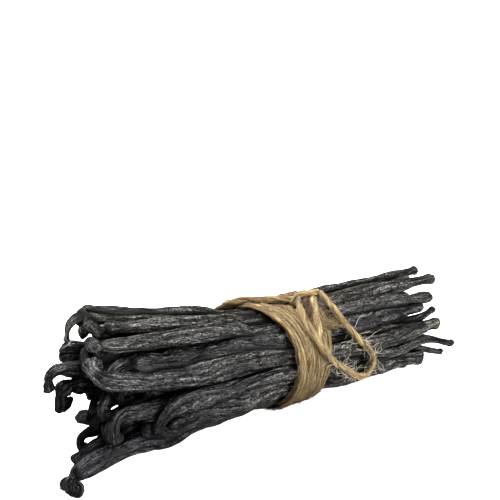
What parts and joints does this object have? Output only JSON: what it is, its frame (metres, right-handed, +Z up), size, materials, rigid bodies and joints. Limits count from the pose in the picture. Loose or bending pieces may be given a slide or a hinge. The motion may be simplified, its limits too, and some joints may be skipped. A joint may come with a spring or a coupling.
{
  "type": "tied bundle of vanilla pods",
  "caption": "Bundle of dark cured vanilla pods with curled stalk ends, tied round the middle with jute twine and a bow loop.",
  "frame": {"origin": "on the surface it lies on, under the middle of the bundle's box", "axes": "+X along the bundle from the curled stalk ends to the blunt tips, +Z up, -Y towards the side with the bow loop"},
  "size_m": [0.1715, 0.0551, 0.0554],
  "materials": {
    "pod_skin": "oily, wrinkled lengthways, near black with olive and brown tints",
    "jute": "golden tan two-ply twine with loose pale fibres"
  },
  "bodies": {
    "root": {"pods": "pod_skin", "twine_wraps": "jute", "twine_knot": "jute", "twine_loop": "jute"}
  },
  "joints": []
}
